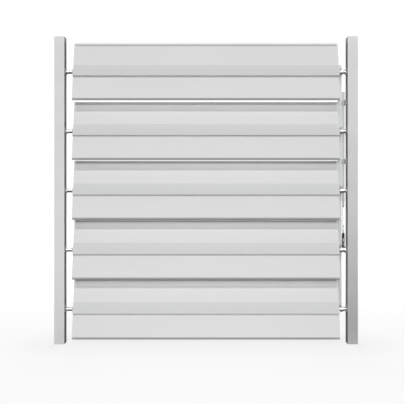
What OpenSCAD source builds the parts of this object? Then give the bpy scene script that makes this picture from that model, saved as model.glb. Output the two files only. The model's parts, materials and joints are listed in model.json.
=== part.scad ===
// Louvre screen: five large pivoting blades between two square posts, turned together by
// a tie bar and one linear actuator. Origin at ground level, midway between the posts;
// +Z is up, X runs along the blades and -Y is the front.

/* [Frame] */
// Height of the posts above the ground
frame_h = 3000; // [2400:50:3600]
// Clear width between the two posts
clear_w = 2760; // [1800:20:3400]
// Width of a post, along the blades
post_w = 100; // [80:5:140]
// Depth of a post, front to back
post_d = 100; // [90:5:140]
// Wall of the post tube
post_wall = 4; // [3:0.5:6]
// Thickness of the foot plate let into each post
foot_t = 12; // [10:1:20]
// Spacing of the anchor holes in each foot, both ways
anchor_pitch = 60; // [50:1:64]
// Diameter of the anchor holes
anchor_d = 13; // [9:1:14]
// Thickness of the cap let into the top of each post
cap_t = 5; // [3:1:8]

/* [Blades] */
// Gap under the lowest blade when it stands upright
bottom_gap = 42; // [30:1:120]
// Gap between the upright top blade and the top of the posts
top_gap = 38; // [20:1:100]
// Overlap of the seal of one blade over the top of the next
lap = 13; // [4:1:20]
// Distance of the pivot below the middle of the blade
pivot_drop = 5; // [0:1:30]
// Lean of the blades from the vertical in the modelled position
rest_tilt = 12.5; // [8:0.5:20]
// Lean that is left when the seals meet the blades below
shut_tilt = 2; // [2:0.5:4]
// Furthest opening from the modelled position
open_travel = 75; // [40:1:77]
// Thickness of the hollow blade panels
panel_t = 14; // [10:1:20]
// Wall of the hollow blade panels
panel_wall = 2; // [1.5:0.5:3]
// Height of the rubber seal along the lower edge
seal_h = 20; // [10:1:25]
// Height of the slotted strip along the upper edge
strip_h = 36; // [30:1:44]
// Thickness of the blade end caps
end_cap_t = 4; // [3:1:6]

/* [Slots] */
// Pitch of the vent slots along a blade
slot_pitch = 27.75; // [24:0.25:60]
// Width of a vent slot
slot_w = 14; // [8:1:18]
// Height of a vent slot
slot_h = 9; // [5:1:12]
// Distance from the top edge to the middle of a vent slot
slot_down = 21; // [12:1:24]

/* [Spine] */
// How far the spine stands in front of the pivot at its lower lip
spine_reach = 31; // [31:1:60]
// Height of the spine face above the pivot
spine_top = 70; // [60:1:90]
// Depth of the spine face below the pivot
spine_lip = 50; // [46:1:60]
// Wall of the spine
spine_wall = 3; // [2:0.5:4]

/* [Pivots] */
// Diameter of the stub shafts
shaft_d = 36; // [28:1:38]
// Length of a stub shaft inside the spine
shaft_grip = 140; // [80:5:200]
// Length of a stub shaft inside the post
shaft_end = 20; // [16:1:30]
// Diameter of the bearing flange
flange_d = 74; // [68:1:80]
// Thickness of the bearing flange
flange_t = 8; // [6:1:10]
// Running clearance of the shafts in their bearings, on the radius
run_clear = 0.05; // [0.02:0.01:0.1]

/* [Tie bar] */
// Radius from pivot to tie bar pin
crank_r = 70; // [64:1:90]
// Thickness of the cranks
crank_t = 10; // [8:1:12]
// Width of the tie bar, along the blades
bar_w = 34; // [32:1:36]
// Depth of the tie bar
bar_d = 24; // [18:1:40]
// Wall of the tie bar
bar_wall = 3; // [2:0.5:4]
// Diameter of the tie bar pins
tie_pin_d = 12; // [8:1:14]

/* [Actuator] */
// Diameter of the actuator body
actuator_d = 28; // [24:1:30]
// Gap between the post's back plane and the actuator
actuator_gap = 16; // [12:1:30]
// Rod length that shows between body and fork
rod_out = 270; // [200:5:320]
// Diameter of the rod
rod_d = 14; // [10:1:18]
// Length of the fork
fork_l = 140; // [130:1:170]
// Length of the fork below its pin
fork_tail = 38; // [20:1:40]
// Diameter of the fork pin
fork_pin_d = 12; // [8:1:14]

/* [Hidden] */
$fn = 48;
BLADES = 5;
SIDES = [-1, 1];
blade_names = ["upper_panel", "lower_panel", "spine", "edge_strip", "seals", "end_caps",
               "shafts", "crank"];

// Fits between pieces
side_clear = 1;
pin_clear = 0.3;
rubber_clear = 0.5;

// Blade heights follow from the frame: the blades fill it and lap over each other
chord = (frame_h - top_gap - bottom_gap + (BLADES - 1) * lap) / BLADES;
blade_pitch = chord - lap;
chord_up = chord / 2 + pivot_drop;
chord_down = chord / 2 - pivot_drop;
function pivot_z(n) = bottom_gap + chord_down + (BLADES - n) * blade_pitch;
function bay_z(n) = (pivot_z(n) + pivot_z(n + 1)) / 2;

post_x = clear_w / 2 + post_w / 2;
post_in = clear_w / 2;
shaft_r = shaft_d / 2;

// Stack along X on the drive side, from the post inwards to the blade end
lever_t = 8;
lever_gap = 4;
bar_clear = 4;
hub_l = 8;
actuator_x = post_in - flange_t - lever_gap - lever_t / 2;
bar_x = actuator_x - actuator_d / 2 - bar_clear - bar_w / 2;
blade_end = bar_x - bar_w / 2 - hub_l;
cap_in = blade_end - end_cap_t;
tube_r = shaft_r + 4.5;
pocket_z = tube_r + 5;
panel_y = panel_t / 2;
wing_y = panel_y + spine_wall - 0.5;
lip_slope = 4;

// Vent slots, centred along the blade
slot_count = floor((2 * cap_in - slot_pitch) / slot_pitch);
slot_xs = [for (i = [0:slot_count]) (i - slot_count / 2) * slot_pitch];
slot_z = chord_up - slot_down;

// Cranks, ears and hubs
ear_t = 6;
ear_x = crank_t / 2 + side_clear + ear_t / 2;
crank_hub_l = 2 * ear_x + ear_t;
hub_r = shaft_r + 8;
lever_hub_l = 18;
lever_hub_r = shaft_r + 9;

// Cranks and lever point back, and stand level halfway through the travel
close_travel = rest_tilt - shut_tilt;
lever_rest = (open_travel - close_travel) / 2;
lever_swing = (open_travel + close_travel) / 2;
bar_gap = 16;
ear_r = 13;
tie_pin_y = crank_r * cos(lever_rest);
tie_pin_z = crank_r * sin(lever_rest);
bar_y = tie_pin_y + bar_gap + bar_d / 2;
bar_over = 44;

// The fork pin runs straight up and down in the lever's slot
actuator_y = post_d / 2 + actuator_gap + actuator_d / 2;
drive_ratio = 1.17;
fork_pin_z = drive_ratio * actuator_y * lever_rest * PI / 180;
lever_slack = 0.05 * actuator_y;
lever_slot_r = fork_pin_d / 2 + lever_slack;
lever_slot_in = actuator_y;
lever_slot_out = actuator_y * (cos(lever_swing)
    + drive_ratio * lever_swing * PI / 180 * sin(lever_swing));
lever_rim = 9;
lever_w = 2 * (lever_slot_r + lever_rim);
drive_blade = 4;
drive_z = pivot_z(drive_blade);
fork_bottom = drive_z + fork_pin_z - fork_tail;
fork_gap = lever_t + 2 * side_clear;
fork_slot = fork_tail + 54;
body_bottom = fork_bottom + fork_l + rod_out;
body_over = 110;
body_top = bay_z(1) + body_over;
nose_l = 60;
rod_inside = 200;

// Fixings
bearing_screws_each = 3;
screw_r = 3;
head_r = 5;
head_h = 3.5;
bracket_t = 8;
bracket_h = 50;
ring_t = bar_clear - side_clear;

// Extrudes a (Y, Z) outline along X
module along_x(length) {
    rotate([90, 0, 90]) linear_extrude(length, center = true) children();
}

// Cylinder along X
module rod_x(r, length) {
    rotate([0, 90, 0]) cylinder(r = r, h = length, center = true);
}

// Places a piece of blade n, drawn in its closed position about its pivot
module on_blade(n) {
    translate([0, 0, pivot_z(n)]) rotate([-rest_tilt, 0, 0]) children();
}

// Turns a piece drawn along +Y to the rest direction of the cranks and the lever
module on_pivot(n, x) {
    translate([x, 0, pivot_z(n)]) rotate([lever_rest, 0, 0]) children();
}

// ---- Frame ----

module post(side) {
    translate([side * post_x, 0, 0]) difference() {
        translate([-post_w / 2, -post_d / 2, 0]) cube([post_w, post_d, frame_h]);
        translate([post_wall - post_w / 2, post_wall - post_d / 2, -1])
            cube([post_w - 2 * post_wall, post_d - 2 * post_wall, frame_h + 2]);
        for (n = [1:BLADES]) {
            translate([-side * (post_w - post_wall) / 2, 0, pivot_z(n)]) {
                rod_x(tube_r, post_wall + 2);
                bearing_ring() rod_x(screw_r, post_wall + 2);
            }
        }
        if (side > 0) {
            bracket_holes() translate([post_wall / 2 - post_w / 2, 0, 0])
                rod_x(screw_r, post_wall + 2);
        }
    }
}

module left_post() { color("gainsboro") post(-1); }

module right_post() { color("gainsboro") post(1); }

module post_caps() {
    color("silver") for (side = SIDES)
        translate([side * post_x, 0, frame_h - cap_t / 2])
            cube([post_w - 2 * post_wall, post_d - 2 * post_wall, cap_t], center = true);
}

module foot_plates() {
    color("silver") for (side = SIDES) translate([side * post_x, 0, foot_t / 2]) difference() {
        cube([post_w - 2 * post_wall, post_d - 2 * post_wall, foot_t], center = true);
        for (dx = SIDES, dy = SIDES)
            translate([dx * anchor_pitch / 2, dy * anchor_pitch / 2, 0])
                cylinder(d = anchor_d, h = foot_t + 2, center = true);
    }
}

// ---- Bearings ----

module bearing_ring() {
    for (i = [0:bearing_screws_each - 1]) rotate([90 + i * 360 / bearing_screws_each, 0, 0])
        translate([0, (tube_r + flange_d / 2) / 2, 0]) children();
}

module bearing(side) {
    difference() {
        union() {
            translate([side * (post_in - flange_t / 2), 0, 0]) rod_x(flange_d / 2, flange_t);
            translate([side * (post_in + shaft_end / 2), 0, 0]) rod_x(tube_r, shaft_end);
        }
        translate([side * post_in, 0, 0]) rod_x(shaft_r + run_clear, 4 * shaft_end);
        translate([side * (post_in - flange_t / 2), 0, 0])
            bearing_ring() rod_x(screw_r, flange_t + 2);
    }
}

module bearings() {
    color("dimgray") for (side = SIDES, n = [1:BLADES])
        translate([0, 0, pivot_z(n)]) bearing(side);
}

// Screw through a plate of thickness t on the post's inner face, head towards the blades
module wall_screw(side, t) {
    shank = t + post_wall + 2;
    translate([side * (post_in - t + shank / 2), 0, 0]) rod_x(screw_r, shank);
    translate([side * (post_in - t - head_h / 2), 0, 0]) rod_x(head_r, head_h);
}

module bearing_screws() {
    color("silver") for (side = SIDES, n = [1:BLADES])
        translate([0, 0, pivot_z(n)]) bearing_ring() wall_screw(side, flange_t);
}

// ---- Blades ----

module hollow_panel(z0, z1) {
    translate([0, 0, (z0 + z1) / 2]) difference() {
        cube([2 * cap_in, panel_t, z1 - z0], center = true);
        cube([2 * cap_in + 2, panel_t - 2 * panel_wall, z1 - z0 - 2 * panel_wall], center = true);
    }
}

module blade_upper_panel(n) {
    color("whitesmoke") on_blade(n) hollow_panel(pocket_z, chord_up - strip_h);
}

module blade_lower_panel(n) {
    color("whitesmoke") on_blade(n) hollow_panel(seal_h - chord_down, -pocket_z);
}

// Half of the spine outline: front face, lower lip and pocket for the lower panel
half_outline = [
    [-wing_y, spine_top], [-spine_reach, lip_slope - spine_lip],
    [lip_slope - spine_reach, -spine_lip], [-panel_y, -spine_lip],
    [-panel_y, -pocket_z], [panel_y, -pocket_z], [panel_y, -spine_top]];

module spine_outline() {
    polygon(concat(half_outline, [for (p = half_outline) -p]));
}

// Hollow cell behind the front face
module spine_cell() {
    inner = spine_reach - spine_wall - 2;
    difference() {
        polygon([[-wing_y - 4, pocket_z - spine_wall], [2 - inner, spine_wall + 2 - spine_lip],
                 [-wing_y - 4, spine_wall + 2 - spine_lip]]);
        circle(r = tube_r);
    }
}

module blade_spine(n) {
    color("lightgray") on_blade(n) difference() {
        along_x(2 * cap_in) difference() {
            spine_outline();
            circle(r = shaft_r);
            spine_cell();
            rotate(180) spine_cell();
        }
        for (x = slot_xs) translate([x, -spine_reach, -spine_lip])
            cube([slot_w, 2 * lip_slope + 2, 2 * lip_slope], center = true);
    }
}

module blade_edge_strip(n) {
    color("lightgray") on_blade(n) difference() {
        translate([0, 0, chord_up - strip_h / 2]) difference() {
            cube([2 * cap_in, panel_t, strip_h], center = true);
            cube([2 * cap_in + 2, panel_t - 2 * panel_wall, strip_h - 2 * panel_wall], center = true);
        }
        for (x = slot_xs) translate([x, -panel_y, slot_z])
            cube([slot_w, 3 * panel_wall, slot_h], center = true);
    }
}

// Rubber seal under the lower panel, and the rubber core behind the vent slots
module blade_seals(n) {
    core_t = panel_t - 4 * panel_wall;
    color("dimgray") on_blade(n) {
        translate([0, 0, seal_h / 2 - chord_down])
            cube([2 * cap_in, panel_t, seal_h], center = true);
        translate([0, (panel_t - core_t) / 2 - panel_wall, chord_up - strip_h / 2])
            cube([2 * cap_in, core_t, strip_h - 2 * panel_wall], center = true);
    }
}

module cap_outline() {
    spine_outline();
    difference() {
        translate([-panel_y, -chord_down]) square([panel_t, chord]);
        circle(r = shaft_r + rubber_clear);
    }
}

module end_cap(side) {
    difference() {
        union() {
            translate([side * (cap_in + end_cap_t / 2), 0, 0]) along_x(end_cap_t) cap_outline();
            translate([side * blade_end, 0, 0]) rotate([0, side * 90, 0])
                cylinder(r1 = shaft_r + 12, r2 = shaft_r + 3, h = hub_l);
        }
        translate([side * blade_end, 0, 0]) rod_x(shaft_r, 4 * hub_l);
    }
}

module blade_end_caps(n) {
    color("lightgray") on_blade(n) for (side = SIDES) end_cap(side);
}

module blade_shafts(n) {
    length = shaft_grip + post_in - cap_in + shaft_end;
    color("silver") translate([0, 0, pivot_z(n)]) for (side = SIDES)
        translate([side * (cap_in - shaft_grip + length / 2), 0, 0]) rod_x(shaft_r, length);
}

// ---- Tie bar ----

module blade_crank(n) {
    color("darkgray") on_pivot(n, bar_x) difference() {
        union() {
            rod_x(hub_r, crank_hub_l);
            translate([0, crank_r / 2, 0]) cube([crank_t, crank_r, 2 * ear_r], center = true);
            translate([0, crank_r, 0]) rod_x(ear_r, crank_t);
        }
        rod_x(shaft_r, crank_hub_l + 2);
        translate([0, crank_r, 0]) rod_x(tie_pin_d / 2 + pin_clear, crank_t + 2);
    }
}

module at_tie_pins() {
    for (n = [1:BLADES]) translate([bar_x, tie_pin_y, pivot_z(n) + tie_pin_z]) children();
}

module tie_bar() {
    bar_z0 = pivot_z(BLADES) + tie_pin_z - bar_over;
    bar_z1 = pivot_z(1) + tie_pin_z + bar_over;
    color("gainsboro") {
        translate([bar_x, bar_y, (bar_z0 + bar_z1) / 2]) difference() {
            cube([bar_w, bar_d, bar_z1 - bar_z0], center = true);
            cube([bar_w - 2 * bar_wall, bar_d - 2 * bar_wall, bar_z1 - bar_z0 + 2], center = true);
        }
        at_tie_pins() for (side = SIDES) translate([side * ear_x, 0, 0]) difference() {
            union() {
                rod_x(ear_r, ear_t);
                translate([0, bar_gap / 2, 0]) cube([ear_t, bar_gap, 2 * ear_r], center = true);
            }
            rod_x(tie_pin_d / 2, ear_t + 2);
        }
    }
}

module tie_bar_pins() {
    color("silver") at_tie_pins() rod_x(tie_pin_d / 2, crank_hub_l);
}

// ---- Drive ----

module drive_lever() {
    slot_l = lever_slot_out - lever_slot_in;
    plate_l = lever_slot_out;
    color("dimgray") on_pivot(drive_blade, actuator_x) difference() {
        union() {
            translate([(lever_t - lever_hub_l) / 2, 0, 0]) rod_x(lever_hub_r, lever_hub_l);
            translate([0, plate_l / 2, 0]) cube([lever_t, plate_l, lever_w], center = true);
            translate([0, plate_l, 0]) rod_x(lever_w / 2, lever_t);
        }
        rod_x(shaft_r, 4 * lever_hub_l);
        translate([0, lever_slot_in + slot_l / 2, 0])
            cube([lever_t + 2, slot_l, 2 * lever_slot_r], center = true);
        for (y = [lever_slot_in, lever_slot_out]) translate([0, y, 0])
            rod_x(lever_slot_r, lever_t + 2);
    }
}

module on_actuator(z) {
    translate([actuator_x, actuator_y, z]) children();
}

module fork() {
    color("dimgray") on_actuator(fork_bottom) difference() {
        cylinder(d = actuator_d, h = fork_l);
        translate([-fork_gap / 2, -actuator_d, -1]) cube([fork_gap, 2 * actuator_d, fork_slot + 1]);
        translate([0, 0, drive_z + fork_pin_z - fork_bottom]) rod_x(fork_pin_d / 2, 2 * actuator_d);
    }
}

module fork_pin() {
    color("silver") on_actuator(drive_z + fork_pin_z) rod_x(fork_pin_d / 2, actuator_d);
}

module actuator_rod() {
    color("silver") on_actuator(fork_bottom + fork_l)
        cylinder(d = rod_d, h = rod_out + rod_inside);
}

module actuator_body() {
    color("gainsboro") on_actuator(body_bottom) difference() {
        union() {
            cylinder(d = actuator_d - 6, h = nose_l);
            translate([0, 0, nose_l]) cylinder(d = actuator_d, h = body_top - body_bottom - nose_l);
        }
        translate([0, 0, -1]) cylinder(r = rod_d / 2 + pin_clear, h = rod_inside + 40);
    }
}

// Places a piece at each actuator bracket, midway between two bearings
module at_brackets() {
    for (n = [1:2]) translate([0, 0, bay_z(n)]) children();
}

bracket_y0 = 5;
bracket_hole_y = 18;
bracket_hole_z = 14;

module bracket_holes() {
    at_brackets() for (side = SIDES)
        translate([0, bracket_hole_y, side * bracket_hole_z]) children();
}

module actuator_brackets() {
    color("silver") at_brackets() difference() {
        union() {
            translate([post_in - bracket_t, bracket_y0, -bracket_h / 2])
                cube([bracket_t, actuator_y - bracket_y0, bracket_h]);
            translate([actuator_x, actuator_y, -bracket_h / 2])
                cylinder(r = actuator_d / 2 + ring_t, h = bracket_h);
        }
        translate([actuator_x, actuator_y, -bracket_h])
            cylinder(d = actuator_d, h = 2 * bracket_h);
        for (side = SIDES) translate([post_in, bracket_hole_y, side * bracket_hole_z])
            rod_x(screw_r, 4 * bracket_t);
    }
}

module bracket_screws() {
    color("dimgray") bracket_holes() wall_screw(1, bracket_t);
}

// ---- Nodes ----

left_post();
right_post();
post_caps();
foot_plates();
bearings();
bearing_screws();
for (n = [1:BLADES]) {
    blade_upper_panel(n);
    blade_lower_panel(n);
    blade_spine(n);
    blade_edge_strip(n);
    blade_seals(n);
    blade_end_caps(n);
    blade_shafts(n);
    blade_crank(n);
}
tie_bar();
tie_bar_pins();
drive_lever();
fork();
fork_pin();
actuator_rod();
actuator_body();
actuator_brackets();
bracket_screws();
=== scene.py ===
"""Looks for the louvre screen: two square posts, five pivoting blades, tie bar and actuator.

Metres, +Z up, X along the blades, -Y the front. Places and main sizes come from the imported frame.
"""

import json
import math

import bmesh
import bpy
from mathutils import Matrix, Vector

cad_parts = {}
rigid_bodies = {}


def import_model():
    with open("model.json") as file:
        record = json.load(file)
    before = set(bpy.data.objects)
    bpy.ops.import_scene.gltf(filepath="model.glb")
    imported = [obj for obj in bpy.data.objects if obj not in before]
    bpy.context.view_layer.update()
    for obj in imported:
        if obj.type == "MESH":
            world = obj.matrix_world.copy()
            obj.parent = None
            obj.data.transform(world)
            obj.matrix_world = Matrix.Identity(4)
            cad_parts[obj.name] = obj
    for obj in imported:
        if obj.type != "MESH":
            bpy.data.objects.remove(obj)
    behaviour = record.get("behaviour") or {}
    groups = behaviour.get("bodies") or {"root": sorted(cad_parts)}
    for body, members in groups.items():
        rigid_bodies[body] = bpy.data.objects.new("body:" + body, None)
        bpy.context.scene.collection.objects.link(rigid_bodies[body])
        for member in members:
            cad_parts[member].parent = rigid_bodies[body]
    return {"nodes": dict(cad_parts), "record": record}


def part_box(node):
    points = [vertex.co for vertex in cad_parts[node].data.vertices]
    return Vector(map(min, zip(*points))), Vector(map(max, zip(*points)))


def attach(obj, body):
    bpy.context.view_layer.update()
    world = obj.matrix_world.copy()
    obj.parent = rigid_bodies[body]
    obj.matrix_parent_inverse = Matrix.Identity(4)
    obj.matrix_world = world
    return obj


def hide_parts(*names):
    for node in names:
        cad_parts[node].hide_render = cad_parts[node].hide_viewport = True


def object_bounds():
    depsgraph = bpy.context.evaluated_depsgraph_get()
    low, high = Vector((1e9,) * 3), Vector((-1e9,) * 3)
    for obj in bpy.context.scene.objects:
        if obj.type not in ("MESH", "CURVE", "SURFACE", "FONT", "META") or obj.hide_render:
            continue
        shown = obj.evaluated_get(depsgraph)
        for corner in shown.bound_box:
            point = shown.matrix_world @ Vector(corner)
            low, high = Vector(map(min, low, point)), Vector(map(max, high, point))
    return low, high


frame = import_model()
cad_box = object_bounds()
TALL = cad_box[1].z
BLADES = 5
SIDES = (-1, 1)  # left and right
MM = 0.001
joints = frame["record"]["behaviour"]["joints"]
pivot = {j["child"]: Vector(j["pos_m"]) for j in joints if j.get("pos_m")}
scene_objects = bpy.context.scene.collection.objects


# ---------------------------------------------------------------- camera

# Focal length and image width, both in pixels
LENS_PX = 635.5
IMAGE_PX = 404
SENSOR_MM = 36.0
EYE_Z = 1.385
EYE_Y = -6.238
cam_data = bpy.data.cameras.new("camera")
cam_data.sensor_width = SENSOR_MM
cam_data.lens = SENSOR_MM * LENS_PX / IMAGE_PX
cam_data.shift_x = -0.01
camera = bpy.data.objects.new("camera", cam_data)
camera.location = (0, EYE_Y, EYE_Z)
camera.rotation_euler = (math.radians(90), 0, 0)
scene_objects.link(camera)
bpy.context.scene.camera = camera
bpy.context.scene.view_settings.view_transform = "Standard"


# ---------------------------------------------------------------- node helpers

def new_material(name):
    mat = bpy.data.materials.new(name)
    mat.use_nodes = True
    tree = mat.node_tree
    bsdf = tree.nodes["Principled BSDF"]
    coord = tree.nodes.new("ShaderNodeTexCoord")
    return mat, tree, bsdf, coord.outputs["Object"]


def mapped(tree, source, scale):
    node = tree.nodes.new("ShaderNodeMapping")
    node.inputs["Scale"].default_value = scale
    tree.links.new(source, node.inputs["Vector"])
    return node.outputs["Vector"]


def noise(tree, source, scale, detail=3.0, rough=0.55):
    node = tree.nodes.new("ShaderNodeTexNoise")
    node.inputs["Scale"].default_value = scale
    node.inputs["Detail"].default_value = detail
    node.inputs["Roughness"].default_value = rough
    tree.links.new(source, node.inputs["Vector"])
    return node.outputs["Fac"]


def spread(tree, source, low, high, start=0.3, end=0.7):
    """Maps start..end of the source to low..high, clamped."""
    node = tree.nodes.new("ShaderNodeMapRange")
    for name, value in (("From Min", start), ("From Max", end), ("To Min", low), ("To Max", high)):
        node.inputs[name].default_value = value
    tree.links.new(source, node.inputs["Value"])
    return node.outputs["Result"]


def ramp(tree, source, stops):
    """Colour ramp through (place, colour) stops, with places from 0 to 1."""
    node = tree.nodes.new("ShaderNodeValToRGB")
    elements = node.color_ramp.elements
    while len(elements) < len(stops):
        elements.new(0.5)
    for element, (place, colour) in zip(elements, stops):
        element.position = place
        element.color = (*colour, 1)
    tree.links.new(source, node.inputs["Fac"])
    return node.outputs["Color"]


def mix(tree, fac, a, b, blend="MIX"):
    node = tree.nodes.new("ShaderNodeMix")
    node.data_type = "RGBA"
    node.blend_type = blend
    for socket, value in ((node.inputs["Factor"], fac), (node.inputs["A"], a), (node.inputs["B"], b)):
        if isinstance(value, (int, float, tuple)):
            socket.default_value = value
        else:
            tree.links.new(value, socket)
    return node.outputs["Result"]


def bump(tree, bsdf, height, strength, distance):
    node = tree.nodes.new("ShaderNodeBump")
    node.inputs["Strength"].default_value = strength
    node.inputs["Distance"].default_value = distance
    tree.links.new(height, node.inputs["Height"])
    tree.links.new(node.outputs["Normal"], bsdf.inputs["Normal"])


def worn_edges(tree, bsdf, base, bright, amount):
    """Lightens convex edges a little, as handling and cleaning do to a coat."""
    geo = tree.nodes.new("ShaderNodeNewGeometry")
    edge = spread(tree, geo.outputs["Pointiness"], 0.0, amount, 0.52, 0.62)
    tree.links.new(mix(tree, edge, base, bright), bsdf.inputs["Base Color"])


# ---------------------------------------------------------------- materials

def powder_coat(name, colour, rough=0.5, grain=900, soil=0.03, painted_foot_shade=None, gloss=0.08):
    """Powder coat: fine orange peel and faint broad colour drift.

    The optional list of (height in metres, brightness) stops is painted shade that darkens the coat
    towards the ground.
    """
    mat, tree, bsdf, place = new_material(name)
    dark = tuple(c * (1 - soil) for c in colour)
    light = tuple(min(1, c * (1 + soil / 2)) for c in colour)
    drift = noise(tree, mapped(tree, place, (0.6, 2.0, 2.4)), 2.0, 4.0)
    base = ramp(tree, drift, [(0.35, dark), (0.65, light)])
    fleck = spread(tree, noise(tree, place, 1600, 1.0), 0.0, 0.04, 0.62, 0.75)
    base = mix(tree, fleck, base, tuple(c * 0.6 for c in colour) + (1,))
    # painted shade: the stops darken the coat towards the ground
    if painted_foot_shade:
        axes = tree.nodes.new("ShaderNodeSeparateXYZ")
        tree.links.new(place, axes.inputs[0])
        height = spread(tree, axes.outputs["Z"], 0.0, 1.0, 0.0, TALL)
        painted_shade_ramp = ramp(tree, height, [(z / TALL, (level,) * 3) for z, level in painted_foot_shade])
        base = mix(tree, 1.0, base, painted_shade_ramp, "MULTIPLY")
    worn_edges(tree, bsdf, base, tuple(min(1, c * 1.08) for c in colour) + (1,), 0.5)
    peel = noise(tree, place, grain, 2.0, 0.5)
    tree.links.new(spread(tree, noise(tree, place, 12, 3.0), rough - 0.06, rough + 0.06),
                   bsdf.inputs["Roughness"])
    bsdf.inputs["Specular IOR Level"].default_value = gloss
    bump(tree, bsdf, peel, 0.18, 0.0004)
    return mat


def brushed(name, colour, along, metal=1.0, rough=0.32, line=0.05, strength=0.12, spec=0.5):
    """Surface with fine drawn lines: along is the stretch of the noise, metal its metallic share."""
    mat, tree, bsdf, place = new_material(name)
    lines = noise(tree, mapped(tree, place, along), 1.0, 5.0, 0.7)
    cloud = noise(tree, place, 7, 3.0)
    dark = tuple(c * (1 - line) for c in colour)
    light = tuple(min(1, c * (1 + line)) for c in colour)
    base = ramp(tree, lines, [(0.3, dark), (0.7, light)])
    worn_edges(tree, bsdf, base, tuple(min(1, c * 1.12) for c in colour) + (1,), 0.6)
    both = mix(tree, 0.5, lines, cloud)
    tree.links.new(spread(tree, both, rough - 0.08, rough + 0.1), bsdf.inputs["Roughness"])
    bsdf.inputs["Metallic"].default_value = metal
    bsdf.inputs["Specular IOR Level"].default_value = spec
    bump(tree, bsdf, lines, strength, 0.0002)
    return mat


def moulded(name, colour, rough=0.55, grain=700, strength=0.25, gloss=0.3):
    """Moulded plastic or rubber: fine spark-eroded grain and pale dust in patches."""
    mat, tree, bsdf, place = new_material(name)
    patch = noise(tree, place, 9, 5.0, 0.65)
    dusty = tuple(c + (0.5 - c) * 0.12 for c in colour)
    base = ramp(tree, patch, [(0.4, colour), (0.75, dusty)])
    worn_edges(tree, bsdf, base, tuple(min(1, c * 1.6 + 0.02) for c in colour) + (1,), 0.5)
    tree.links.new(spread(tree, patch, rough - 0.05, rough + 0.12), bsdf.inputs["Roughness"])
    bsdf.inputs["Specular IOR Level"].default_value = gloss
    bump(tree, bsdf, noise(tree, place, grain, 2.0), strength, 0.0003)
    return mat


# Painted shade on the posts: brightness stops by height, darker towards the floor, far more on the right
# post.
LEFT_PAINTED_SHADE = [(0.0, 0.84), (0.12, 0.89), (0.5, 0.96), (1.0, 1.0), (TALL, 1.0)]
RIGHT_PAINTED_SHADE = [(0.0, 0.50), (0.12, 0.55), (0.7, 0.70), (1.4, 0.86), (2.2, 0.96), (TALL, 1.0)]
# Noise scales that draw a metal's lines out along one axis
ALONG_X = (3.0, 900.0, 900.0)
ALONG_Z = (900.0, 900.0, 3.0)
post_coat = powder_coat("post_coat", (0.83, 0.835, 0.83), painted_foot_shade=LEFT_PAINTED_SHADE)
post_coat_drive = powder_coat("post_coat_drive", (0.82, 0.825, 0.825), painted_foot_shade=RIGHT_PAINTED_SHADE)
# Darker copy of the post coat for the faces towards the blades: painted shade.
post_inner_painted_shade = powder_coat("post_inner_painted_shade", (0.37, 0.375, 0.38), 0.6, gloss=0.05)
cap_coat = powder_coat("cap_coat", (0.62, 0.625, 0.62), 0.45)
bracket_coat = powder_coat("bracket_coat", (0.46, 0.465, 0.47), 0.5)
blade_coat = powder_coat("blade_coat", (0.78, 0.785, 0.78), 0.55, 800, 0.02)
strip_coat = powder_coat("strip_coat", (0.76, 0.765, 0.76), 0.5, 800, 0.02)
spine_coat = brushed("spine_coat", (0.68, 0.69, 0.685), ALONG_X, 0.0, 0.5, 0.03, 0.06, 0.12)
rubber = moulded("rubber", (0.05, 0.05, 0.052), 0.7)
seal_rubber = moulded("seal_rubber", (0.36, 0.365, 0.36), 0.65, 500, 0.3)
bearing_plastic = moulded("bearing_plastic", (0.30, 0.30, 0.31), 0.5)
cast_black = moulded("cast_black", (0.02, 0.02, 0.022), 0.62, 400, 0.4, 0.12)
shaft_steel = brushed("shaft_steel", (0.72, 0.72, 0.73), (900.0, 6.0, 6.0), 1.0, 0.25)
plate_steel = brushed("plate_steel", (0.62, 0.62, 0.64), (40.0, 40.0, 40.0), 1.0, 0.4, 0.08)
screw_steel = brushed("screw_steel", (0.66, 0.66, 0.68), (300.0, 300.0, 300.0), 1.0, 0.3)
tube_alu = brushed("tube_alu", (0.50, 0.51, 0.52), ALONG_Z, 0.15, 0.42, 0.04)
bar_alu = brushed("bar_alu", (0.54, 0.55, 0.56), ALONG_Z, 0.15, 0.45, 0.04)
rod_chrome = brushed("rod_chrome", (0.85, 0.85, 0.86), (30.0, 30.0, 900.0), 1.0, 0.12, 0.02, 0.03)


def paint(obj, mat):
    """Puts one material in every slot of an object."""
    if obj.data.materials:
        for i in range(len(obj.data.materials)):
            obj.data.materials[i] = mat
    else:
        obj.data.materials.append(mat)


node_finish = {
    "left_post": post_coat, "right_post": post_coat_drive, "post_caps": cap_coat,
    "foot_plates": plate_steel, "bearings": bearing_plastic, "bearing_screws": screw_steel,
    "tie_bar": bar_alu, "tie_bar_pins": screw_steel, "drive_lever": plate_steel,
    "fork": cast_black, "fork_pin": screw_steel, "actuator_rod": rod_chrome,
    "actuator_body": tube_alu, "actuator_brackets": bracket_coat, "bracket_screws": screw_steel,
}
blade_finish = {
    "upper_panel": blade_coat, "lower_panel": blade_coat, "spine": spine_coat,
    "edge_strip": strip_coat, "seals": rubber, "end_caps": strip_coat,
    "shafts": shaft_steel, "crank": plate_steel,
}
for n in range(1, BLADES + 1):
    for part, mat in blade_finish.items():
        node_finish[f"blade_{n}_{part}"] = mat
for name, node in frame["nodes"].items():
    paint(node, node_finish[name])


# ---------------------------------------------------------------- mesh helpers

def new_piece(name, bm, mat, body, edge=35):
    """Makes an object that rides on a body. Edges sharper than edge degrees stay sharp."""
    bmesh.ops.recalc_face_normals(bm, faces=bm.faces)
    mesh = bpy.data.meshes.new(name)
    bm.to_mesh(mesh)
    bm.free()
    obj = bpy.data.objects.new(name, mesh)
    scene_objects.link(obj)
    paint(obj, mat)
    mesh.shade_smooth()
    mesh.set_sharp_from_angle(angle=math.radians(edge))
    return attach(obj, body)


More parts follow.
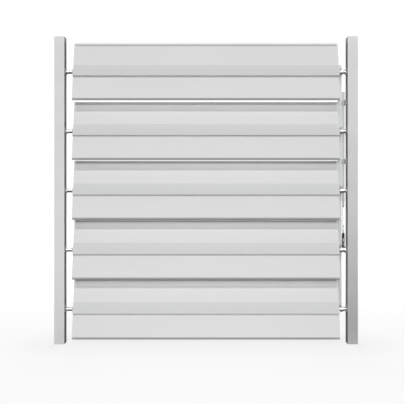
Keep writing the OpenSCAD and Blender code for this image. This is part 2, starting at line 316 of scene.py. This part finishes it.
def lathe(bm, profile, segments=32, matrix=Matrix.Identity(4)):
    """Revolves (radius, height) points about Z. A radius of 0 closes the end."""
    rings = []
    for radius, height in profile:
        if radius == 0:
            rings.append([bm.verts.new(matrix @ Vector((0, 0, height)))])
            continue
        rings.append([bm.verts.new(matrix @ Vector((
            radius * math.cos(math.tau * i / segments),
            radius * math.sin(math.tau * i / segments), height))) for i in range(segments)])
    for low, high in zip(rings, rings[1:]):
        for i in range(segments):
            j = (i + 1) % segments
            if len(low) == 1 and len(high) == 1:
                continue
            if len(low) == 1:
                bm.faces.new((low[0], high[j], high[i]))
            elif len(high) == 1:
                bm.faces.new((low[i], low[j], high[0]))
            else:
                bm.faces.new((low[i], low[j], high[j], high[i]))
    return rings


def socket_screw(bm, matrix, head_r, head_h, socket_r, shank_r=0.0, shank_l=0.0):
    """Screw with a chamfered head and a hexagon socket, head outwards along +Z from 0."""
    edge = 0.12 * head_r
    outer = [(head_r, 0), (head_r, head_h - edge), (head_r - edge, head_h)]
    if shank_l:
        outer = [(0, -shank_l), (shank_r * 0.8, -shank_l), (shank_r, -shank_l * 0.95),
                 (shank_r, 0)] + outer
    else:
        outer = [(0, 0)] + outer
    segments = 24
    rings = lathe(bm, outer, segments, matrix)
    hexagon = [Vector((socket_r * math.cos(math.tau * i / 6), socket_r * math.sin(math.tau * i / 6),
                       head_h)) for i in range(6)]
    rim = []
    for i in range(segments):
        a, part = divmod(i, segments // 6)
        p = hexagon[a].lerp(hexagon[(a + 1) % 6], part / (segments // 6))
        rim.append(p)
    top = [bm.verts.new(matrix @ p) for p in rim]
    floor = [bm.verts.new(matrix @ (p - Vector((0, 0, 0.6 * head_h)))) for p in rim]
    last = rings[-1]
    for i in range(segments):
        j = (i + 1) % segments
        bm.faces.new((last[i], last[j], top[j], top[i]))
        bm.faces.new((top[i], top[j], floor[j], floor[i]))
    bm.faces.new(floor)


def facing(axis, origin):
    """Matrix that turns +Z to the given axis and moves to the origin."""
    turn = Vector((0, 0, 1)).rotation_difference(Vector(axis)).to_matrix().to_4x4()
    return Matrix.Translation(origin) @ turn


def rounded_rect(hx, hy, r, steps=5):
    """Outline of a rectangle of half sizes hx and hy with corners of radius r."""
    points = []
    for cx, cy, start in ((hx - r, hy - r, 0), (r - hx, hy - r, 90), (r - hx, r - hy, 180),
                          (hx - r, r - hy, 270)):
        for i in range(steps + 1):
            a = math.radians(start + 90 * i / steps)
            points.append((cx + r * math.cos(a), cy + r * math.sin(a)))
    return points


def loft(bm, loops, close_ends=False):
    """Joins loops of equal length, each a list of points, into a skin."""
    rings = [[bm.verts.new(p) for p in loop] for loop in loops]
    for low, high in zip(rings, rings[1:]):
        for i in range(len(low)):
            j = (i + 1) % len(low)
            bm.faces.new((low[i], low[j], high[j], high[i]))
    if close_ends:
        bm.faces.new(list(reversed(rings[0])))
        bm.faces.new(rings[-1])
    return rings


# ---------------------------------------------------------------- posts

CORNER_R = 3 * MM
INNER_CORNER_R = 0.2 * MM
WALL = 4 * MM


def post_tube(name):
    """Square tube with rounded corners. The face towards the blades gets a darker copy of the coat:
    painted shade.
    """
    low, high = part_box(name)
    cx, cy = (low.x + high.x) / 2, (low.y + high.y) / 2
    hx, hy = (high.x - low.x) / 2, (high.y - low.y) / 2
    bm = bmesh.new()
    outer = rounded_rect(hx, hy, CORNER_R)
    inner = rounded_rect(hx - WALL, hy - WALL, INNER_CORNER_R)
    ease = 1.0 * MM

    def at(shape, z, shrink=0.0):
        return [Vector((cx + x * (1 - shrink / hx), cy + y * (1 - shrink / hy), z)) for x, y in shape]

    loops = [at(inner, low.z), at(outer, low.z, ease), at(outer, low.z + ease)]
    steps = 24
    loops += [at(outer, low.z + ease + (high.z - low.z - 2 * ease) * i / steps)
              for i in range(1, steps)]
    loops += [at(outer, high.z - ease), at(outer, high.z, ease), at(inner, high.z), at(inner, low.z)]
    loft(bm, loops)
    bmesh.ops.remove_doubles(bm, verts=bm.verts, dist=1e-6)
    piece = new_piece(name.replace("_post", "_post_tube"), bm, node_finish[name], "frame")
    # painted shade: the faces towards the blades take the darker copy of the coat
    piece.data.materials.append(post_inner_painted_shade)
    inwards = -1 if low.x > 0 else 1
    for face in piece.data.polygons:
        if face.normal.x * inwards > 0.9:
            face.material_index = 1
    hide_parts(name)
    return piece


for name in ("left_post", "right_post"):
    post_tube(name)


def post_cap(side):
    """Pressed cap: a plate with a raised, rounded centre, inside the top of the tube."""
    low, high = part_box("left_post" if side < 0 else "right_post")
    cx, cy = (low.x + high.x) / 2, (low.y + high.y) / 2
    half = (high.x - low.x) / 2 - WALL - 0.3 * MM
    bm = bmesh.new()
    top = high.z
    steps = [(half, -5 * MM), (half, -1.2 * MM), (half - 1 * MM, -0.4 * MM), (half - 5 * MM, -0.4 * MM),
             (half - 8 * MM, 0.8 * MM), (half - 12 * MM, 1.6 * MM), (half - 24 * MM, 2.2 * MM)]
    loops = [[Vector((cx + x, cy + y, top + z)) for x, y in rounded_rect(h, h, min(4 * MM, h / 4))]
             for h, z in steps]
    loft(bm, loops, True)
    return new_piece(f"post_cap_{'left' if side < 0 else 'right'}", bm, cap_coat, "frame")


caps = [post_cap(side) for side in SIDES]
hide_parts("post_caps")


# ---------------------------------------------------------------- bearings and their screws

post_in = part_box("right_post")[0].x
# Sizes of the design that no node's box gives
FLANGE_R = 37 * MM
SCREW_RING_R = 29.75 * MM
SHAFT_R = 18 * MM
SCREW_SEAT = 7.0 * MM  # from the post's inner face to the underside of a screw head
SCREW_HEAD_R = 5 * MM
SCREW_SOCKET_R = 2.4 * MM
SCREW_SHANK_R = 3 * MM


def screw_ring():
    """(Y, Z) places of the three screws round a bearing."""
    angles = [math.radians(90 + 120 * i) for i in range(3)]
    return [(SCREW_RING_R * math.cos(a), SCREW_RING_R * math.sin(a)) for a in angles]


def bearing_shell(side, n):
    """Moulded flange bearing: stepped face, recessed ring and a lip round the shaft."""
    z = pivot[f"blade_{n}"].z
    bm = bmesh.new()
    bore = SHAFT_R + 0.4 * MM
    profile = [(bore, 8.0), (bore, -19.5), (bore + 2.6 * MM, -20.0), (SHAFT_R + 4.4 * MM, -19.0),
               (SHAFT_R + 4.4 * MM, 0.0), (FLANGE_R - 0.6 * MM, 0.0), (FLANGE_R, 0.6),
               (FLANGE_R, 5.2), (FLANGE_R - 1.2 * MM, 6.2), (FLANGE_R - 2.2 * MM, 6.4),
               (SHAFT_R + 7.5 * MM, 6.4), (SHAFT_R + 6 * MM, 7.0), (SHAFT_R + 5.2 * MM, 8.6),
               (SHAFT_R + 4.2 * MM, 9.4), (SHAFT_R + 1.6 * MM, 9.4), (bore, 8.0)]
    matrix = facing((-side, 0, 0), (side * post_in, 0, z))
    lathe(bm, [(r, h * MM) for r, h in profile], 48, matrix)
    bmesh.ops.remove_doubles(bm, verts=bm.verts, dist=1e-6)
    for dy, dz in screw_ring():
        at = Matrix.Translation((0, dy, dz))
        lathe(bm, [(0, 6.0 * MM), (6.2 * MM, 6.0 * MM), (6.2 * MM, 7.0 * MM), (5.9 * MM, 7.3 * MM),
                   (5.3 * MM, 7.3 * MM), (5.1 * MM, 7.0 * MM), (0, 7.0 * MM)], 24, at @ matrix)
    return bm


screws_bm = bmesh.new()
shell_bm = bmesh.new()


def join(into, part):
    """Adds one bmesh to another and frees it."""
    mesh = bpy.data.meshes.new("part")
    part.to_mesh(mesh)
    part.free()
    into.from_mesh(mesh)
    bpy.data.meshes.remove(mesh)


for side in SIDES:
    for n in range(1, BLADES + 1):
        join(shell_bm, bearing_shell(side, n))
        z = pivot[f"blade_{n}"].z
        for dy, dz in screw_ring():
            origin = (side * (post_in - SCREW_SEAT), dy, z + dz)
            socket_screw(screws_bm, facing((-side, 0, 0), origin), SCREW_HEAD_R, 4.5 * MM,
                         SCREW_SOCKET_R, SCREW_SHANK_R, 12 * MM)
shells = new_piece("bearing_shells", shell_bm, bearing_plastic, "frame")
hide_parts("bearings")
screws = new_piece("bearing_socket_screws", screws_bm, screw_steel, "frame")
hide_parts("bearing_screws")


# ---------------------------------------------------------------- actuator

body_low, body_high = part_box("actuator_body")
rod_x = (body_low.x + body_high.x) / 2
rod_y = (body_low.y + body_high.y) / 2
tube_r = (body_high.x - body_low.x) / 2
bm = bmesh.new()
length = body_high.z - body_low.z
nose = 60 * MM
GROOVES = (0.030, 0.24, 0.52)  # heights of the rolled grooves over the nose
profile = [(7.6 * MM, 10 * MM), (7.6 * MM, 0.0), (8.4 * MM, 0.0), (9.6 * MM, 1.2 * MM),
           (9.6 * MM, 6 * MM), (10.4 * MM, 6.6 * MM), (10.8 * MM, 9 * MM), (10.8 * MM, nose - 8 * MM),
           (11.4 * MM, nose - 6 * MM), (13.2 * MM, nose - 0.5 * MM), (tube_r, nose + 1 * MM)]
for z in GROOVES:
    base = nose + z
    profile += [(tube_r, base), (tube_r - 0.9 * MM, base + 0.8 * MM), (tube_r - 0.9 * MM, base + 2.2 * MM),
                (tube_r, base + 3.0 * MM)]
profile += [(tube_r, length - 26 * MM), (tube_r - 0.8 * MM, length - 25.4 * MM),
            (tube_r - 0.8 * MM, length - 24 * MM), (tube_r, length - 23.4 * MM),
            (tube_r, length - 7 * MM), (tube_r - 1.4 * MM, length - 3 * MM),
            (tube_r - 4 * MM, length - 0.6 * MM), (tube_r - 7 * MM, length), (0, length)]
lathe(bm, [(0, 10 * MM)] + profile, 40, Matrix.Translation((rod_x, rod_y, body_low.z)))
tube = new_piece("actuator_tube", bm, tube_alu, "frame", edge=30)
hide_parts("actuator_body")

bm = bmesh.new()
lathe(bm, [(7.1 * MM, 0.5 * MM), (7.1 * MM, -2.2 * MM), (8.2 * MM, -3.0 * MM), (9.2 * MM, -1.2 * MM),
           (9.2 * MM, 0.5 * MM)], 32, Matrix.Translation((rod_x, rod_y, body_low.z)))
new_piece("rod_wiper", bm, rubber, "frame")

# Sizes of the design that no node's box gives
BRACKET_T = 8 * MM
BRACKET_SCREW_Y = 18 * MM
BRACKET_SCREW_DZ = 14 * MM
WASHER_T = 1.1 * MM
bm = bmesh.new()
# The brackets sit half way between blades 1 and 2, and between blades 2 and 3
bay = [(pivot[f"blade_{n}"].z + pivot[f"blade_{n + 1}"].z) / 2 for n in (1, 2)]
for z in bay:
    for side in SIDES:
        origin = (post_in - BRACKET_T, BRACKET_SCREW_Y, z + side * BRACKET_SCREW_DZ)
        axis = facing((-1, 0, 0), origin)
        lathe(bm, [(3.2 * MM, 0), (6.4 * MM, 0), (6.4 * MM, 0.9 * MM), (6.1 * MM, WASHER_T),
                   (3.2 * MM, WASHER_T)], 28, axis)
        socket_screw(bm, axis @ Matrix.Translation((0, 0, WASHER_T)), SCREW_HEAD_R, 3.6 * MM,
                     SCREW_SOCKET_R, SCREW_SHANK_R, 14 * MM)
washed = new_piece("bracket_socket_screws", bm, screw_steel, "frame")
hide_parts("bracket_screws")


# ---------------------------------------------------------------- rod end: jam nut and clips

fork_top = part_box("fork")[1].z
pin_low, pin_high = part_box("fork_pin")
bm = bmesh.new()
nut_r = tube_r * 0.86
nut = [(nut_r * math.cos(math.tau * i / 6), nut_r * math.sin(math.tau * i / 6)) for i in range(6)]
loops = []
for shrink, z in ((0.90, 0.0), (1.0, 0.9), (1.0, 6.6), (0.90, 7.5)):
    loops.append([Vector((rod_x + x * shrink, rod_y + y * shrink, fork_top + z * MM)) for x, y in nut])
loft(bm, loops, True)
new_piece("rod_jam_nut", bm, cast_black, "drive_rod", edge=20)

bm = bmesh.new()
pin_z = (pin_low.z + pin_high.z) / 2
pin_r = (pin_high.z - pin_low.z) / 2
for side in SIDES:
    axis = facing((side, 0, 0), (rod_x + side * (tube_r - 3.2 * MM), rod_y, pin_z))
    lathe(bm, [(0, 0), (pin_r + 1.8 * MM, 0), (pin_r + 1.8 * MM, 1.8 * MM), (pin_r + 1.3 * MM, 2.4 * MM),
               (pin_r - 0.4 * MM, 2.4 * MM), (pin_r - 1.2 * MM, 2.9 * MM), (0, 2.9 * MM)], 28, axis)
new_piece("fork_pin_clips", bm, screw_steel, "drive_rod")


# ---------------------------------------------------------------- tie bar: pins, plugs

bar_low, bar_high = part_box("tie_bar")
pins_low, pins_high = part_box("tie_bar_pins")
bar_x = (bar_low.x + bar_high.x) / 2
tie_y = (pins_low.y + pins_high.y) / 2
tie_r = (pins_high.y - pins_low.y) / 2
tie_dz = pins_high.z - tie_r - pivot["blade_1"].z
half = (pins_high.x - pins_low.x) / 2
bm = bmesh.new()
for n in range(1, BLADES + 1):
    z = pivot[f"blade_{n}"].z + tie_dz
    head = facing((-1, 0, 0), (bar_x - half, tie_y, z))
    lathe(bm, [(0, -2 * half), (tie_r, -2 * half), (tie_r, 0), (tie_r + 2.4 * MM, 0),
               (tie_r + 2.4 * MM, 2.0 * MM), (tie_r + 1.7 * MM, 2.8 * MM), (0, 2.8 * MM)], 28, head)
    tail = facing((1, 0, 0), (bar_x + half, tie_y, z))
    lathe(bm, [(0, 0), (tie_r + 2.0 * MM, 0), (tie_r + 2.0 * MM, 1.0 * MM), (tie_r - 1 * MM, 1.0 * MM),
               (tie_r - 1 * MM, 2.6 * MM), (tie_r - 1.8 * MM, 3.2 * MM), (0, 3.2 * MM)], 28, tail)
headed = new_piece("tie_bar_headed_pins", bm, screw_steel, "tie_bar")
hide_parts("tie_bar_pins")

bm = bmesh.new()
bar_wy = 24 * MM
bar_cy = bar_high.y - bar_wy / 2
bar_hx = (bar_high.x - bar_low.x) / 2
for end in SIDES:
    z0 = bar_high.z if end > 0 else bar_low.z
    # Inset from the bar's faces and height over its end, in mm: neck, rim and crown of a plug
    shape = [(3.3, -9.0), (3.3, 0.1), (0.5, 0.1), (0.5, 1.6), (1.5, 2.6), (4, 3.0)]
    loops = [[Vector((bar_x + x, bar_cy + y, z0 + end * h * MM))
              for x, y in rounded_rect(bar_hx - inset * MM, bar_wy / 2 - inset * MM, 1.5 * MM)]
             for inset, h in shape]
    loft(bm, loops, True)
new_piece("tie_bar_plugs", bm, bearing_plastic, "tie_bar")


# ---------------------------------------------------------------- blade details

TILT = math.radians(12.5)  # how far the blades lean at rest
# Sizes of the design that no node's box gives
PANEL_T = 14 * MM
SEAL_H = 20 * MM
STRIP_H = 36 * MM
STRIP_WALL = 2 * MM
END_CAP_T = 8 * MM
# Places of the screws in an end cap, along the chord from the pivot
CAP_SCREWS = (0.235, 0.130, -0.120, -0.235)
cap_low, cap_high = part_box("blade_1_end_caps")
blade_end = cap_high.x - END_CAP_T
half_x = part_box("blade_1_seals")[1].x
lean_half = PANEL_T / 2 * math.sin(TILT)
chord_down = (pivot["blade_1"].z - cap_low.z - lean_half) / math.cos(TILT)
chord_up = (cap_high.z - pivot["blade_1"].z - lean_half) / math.cos(TILT)


def on_blade(n):
    """Matrix from a blade's own frame, upright with its pivot at 0, to its place at rest."""
    return Matrix.Translation(pivot[f"blade_{n}"]) @ Matrix.Rotation(-TILT, 4, "X")


def extrude_x(bm, outline, x0, x1, matrix, cuts=1):
    """Extrudes a closed (Y, Z) outline along X with closed ends."""
    loops = [[matrix @ Vector((x0 + (x1 - x0) * i / cuts, y, z)) for y, z in outline]
             for i in range(cuts + 1)]
    loft(bm, loops, True)


def seal_outline():
    """Co-extruded seal: square root with two grip grooves, and a soft rounded bulb below."""
    top = SEAL_H - chord_down
    h = PANEL_T / 2
    points = [(-h, top), (-h, top - 3.0 * MM), (-h + 0.8 * MM, top - 3.4 * MM),
              (-h + 0.8 * MM, top - 4.6 * MM), (-h, top - 5.0 * MM)]
    centre = -chord_down + h
    for i in range(11):
        a = math.radians(180 + 18 * i)
        points.append((h * math.cos(a), centre + h * math.sin(a)))
    mirrored = [(-y, z) for y, z in points[:5]]
    return points + list(reversed(mirrored))


def core_outline():
    """Rubber core behind the slots, chamfered towards the front."""
    half_h = (STRIP_H - 2 * STRIP_WALL - 0.4 * MM) / 2
    middle = chord_up - STRIP_H / 2
    chamfer = 3 * MM
    return [(-1.5 * MM, middle - half_h), (4.8 * MM, middle - half_h),
            (4.8 * MM, middle + half_h), (-1.5 * MM, middle + half_h),
            (-4.2 * MM, middle + half_h - chamfer), (-4.2 * MM, middle - half_h + chamfer)]


for n in range(1, BLADES + 1):
    lean = on_blade(n)
    bm = bmesh.new()
    extrude_x(bm, seal_outline(), -half_x, half_x, lean, 40)
    seal = new_piece(f"blade_{n}_edge_seal", bm, seal_rubber, f"blade_{n}", edge=50)
    bm = bmesh.new()
    extrude_x(bm, core_outline(), -half_x, half_x, lean, 40)
    new_piece(f"blade_{n}_slot_core", bm, rubber, f"blade_{n}")
    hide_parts(f"blade_{n}_seals")
    bm = bmesh.new()
    for side in SIDES:
        for z in CAP_SCREWS:
            turn = lean @ Matrix.Translation((side * blade_end, 0, z)) @ Matrix.Rotation(
                math.radians(90 * side), 4, "Y")
            socket_screw(bm, turn, 4.6 * MM, 2.2 * MM, 2.0 * MM)
    new_piece(f"blade_{n}_cap_screws", bm, screw_steel, f"blade_{n}")


# ---------------------------------------------------------------- floor

floor_mesh = bpy.data.meshes.new("studio_floor")
bm = bmesh.new()
FLOOR_R = 60.0
FLOOR_Z = -0.0005
bmesh.ops.create_circle(bm, cap_ends=True, segments=96, radius=FLOOR_R,
                        matrix=Matrix.Translation((0, 0, FLOOR_Z)))
bm.to_mesh(floor_mesh)
bm.free()
floor = bpy.data.objects.new("studio_floor", floor_mesh)
scene_objects.link(floor)
floor.visible_diffuse = False
floor.visible_glossy = False
floor_mat, tree, bsdf, place = new_material("floor_white")
bsdf.inputs["Roughness"].default_value = 0.9
bsdf.inputs["Specular IOR Level"].default_value = 0.1
bsdf.inputs["Emission Strength"].default_value = 1.0
grain = noise(tree, place, 3, 2.0)
tree.links.new(ramp(tree, grain, [(0.3, (0.16, 0.16, 0.16)), (0.7, (0.165, 0.165, 0.165))]),
               bsdf.inputs["Base Color"])
# Distance from the screen's footprint, so that the floor's glow is a little darker next to it: painted
# shade.
FOOTPRINT = (cad_box[1].x, cad_box[1].y, 0)
FAR = 9.0
outside = place
for operation, value in (("ABSOLUTE", None), ("SUBTRACT", FOOTPRINT), ("MAXIMUM", (0, 0, 0)),
                         ("LENGTH", None)):
    step = tree.nodes.new("ShaderNodeVectorMath")
    step.operation = operation
    tree.links.new(outside, step.inputs[0])
    if value:
        step.inputs[1].default_value = value
    outside = step.outputs["Value" if operation == "LENGTH" else "Vector"]
reach = spread(tree, outside, 0.0, 1.0, 0.0, FAR)
# painted shade: the glow dims near the footprint and reaches full white far off
floor_glow_painted_shade = ramp(tree, reach, [(0.0, (0.76,) * 3), (0.05, (0.82,) * 3), (1.0, (1.0,) * 3)])
tree.links.new(floor_glow_painted_shade, bsdf.inputs["Emission Color"])
paint(floor, floor_mat)


# ---------------------------------------------------------------- light

def sun(name, azimuth, elevation, energy, angle):
    """Azimuth 0 shines from the front; positive comes from the right."""
    data = bpy.data.lights.new(name, "SUN")
    data.energy = energy
    data.angle = math.radians(angle)
    obj = bpy.data.objects.new(name, data)
    a, e = math.radians(azimuth), math.radians(elevation)
    source = Vector((math.sin(a) * math.cos(e), -math.cos(a) * math.cos(e), math.sin(e)))
    obj.rotation_euler = (-source).to_track_quat("-Z", "Y").to_euler()
    scene_objects.link(obj)


def area(name, place, target, size, energy, glossy=True):
    """Rectangular light, hidden from the camera; glossy says whether it shows in reflections."""
    data = bpy.data.lights.new(name, "AREA")
    data.shape = "RECTANGLE"
    data.size, data.size_y = size
    data.energy = energy
    obj = bpy.data.objects.new(name, data)
    obj.location = place
    obj.rotation_euler = (Vector(target) - Vector(place)).to_track_quat("-Z", "Y").to_euler()
    obj.visible_camera = False
    obj.visible_glossy = glossy
    scene_objects.link(obj)


sun("key_left", -10, 43, 0.52, 4)
sun("key_right", 10, 43, 0.50, 4)
area("front_fill", (0, -14, 4.2), (0, 0, 1.5), (4.0, 6.5), 1010)
area("floor_bounce", (0, -1.5, 0.03), (0, 0, 0.9), (3.0, 1.4), 2.5, False)
sun("side_left", -90, 1, 1.1, 1)
sun("side_right", 90, 1, 1.0, 1)
area("back_fill", (0, 14, 6.5), (0, 0, 1.4), (6.0, 6.0), 1250, False)

world = bpy.data.worlds.new("studio")
bpy.context.scene.world = world
world.use_nodes = True
wt = world.node_tree
wt.nodes.clear()
path = wt.nodes.new("ShaderNodeLightPath")


def sky(stops):
    """Background whose strength follows the direction's height: -1 straight down, 1 straight up."""
    coord = wt.nodes.new("ShaderNodeTexCoord")
    axes = wt.nodes.new("ShaderNodeSeparateXYZ")
    wt.links.new(coord.outputs["Generated"], axes.inputs[0])
    height = spread(wt, axes.outputs["Z"], 0.0, 1.0, -1.0, 1.0)
    shade = ramp(wt, height, [((z + 1) / 2, (level, level, level)) for z, level in stops])
    node = wt.nodes.new("ShaderNodeBackground")
    wt.links.new(shade, node.inputs["Color"])
    return node.outputs["Background"]


def choose(ray, a, b):
    """Background b for the named kind of ray, and a for every other."""
    node = wt.nodes.new("ShaderNodeMixShader")
    wt.links.new(path.outputs[ray], node.inputs["Fac"])
    wt.links.new(a, node.inputs[1])
    wt.links.new(b, node.inputs[2])
    return node.outputs["Shader"]


soft = sky([(-1, 0.14), (-0.5, 0.06), (0, 0.02), (0.5, 0.08), (1, 0.25)])
shiny = sky([(-1, 0.10), (-0.15, 0.14), (0.0, 0.55), (1, 1.0)])
white = wt.nodes.new("ShaderNodeBackground")
white.inputs["Strength"].default_value = 1.05
white.inputs["Color"].default_value = (1, 1, 1, 1)
out = wt.nodes.new("ShaderNodeOutputWorld")
seen = choose("Is Camera Ray", choose("Is Glossy Ray", soft, shiny), white.outputs["Background"])
wt.links.new(seen, out.inputs["Surface"])
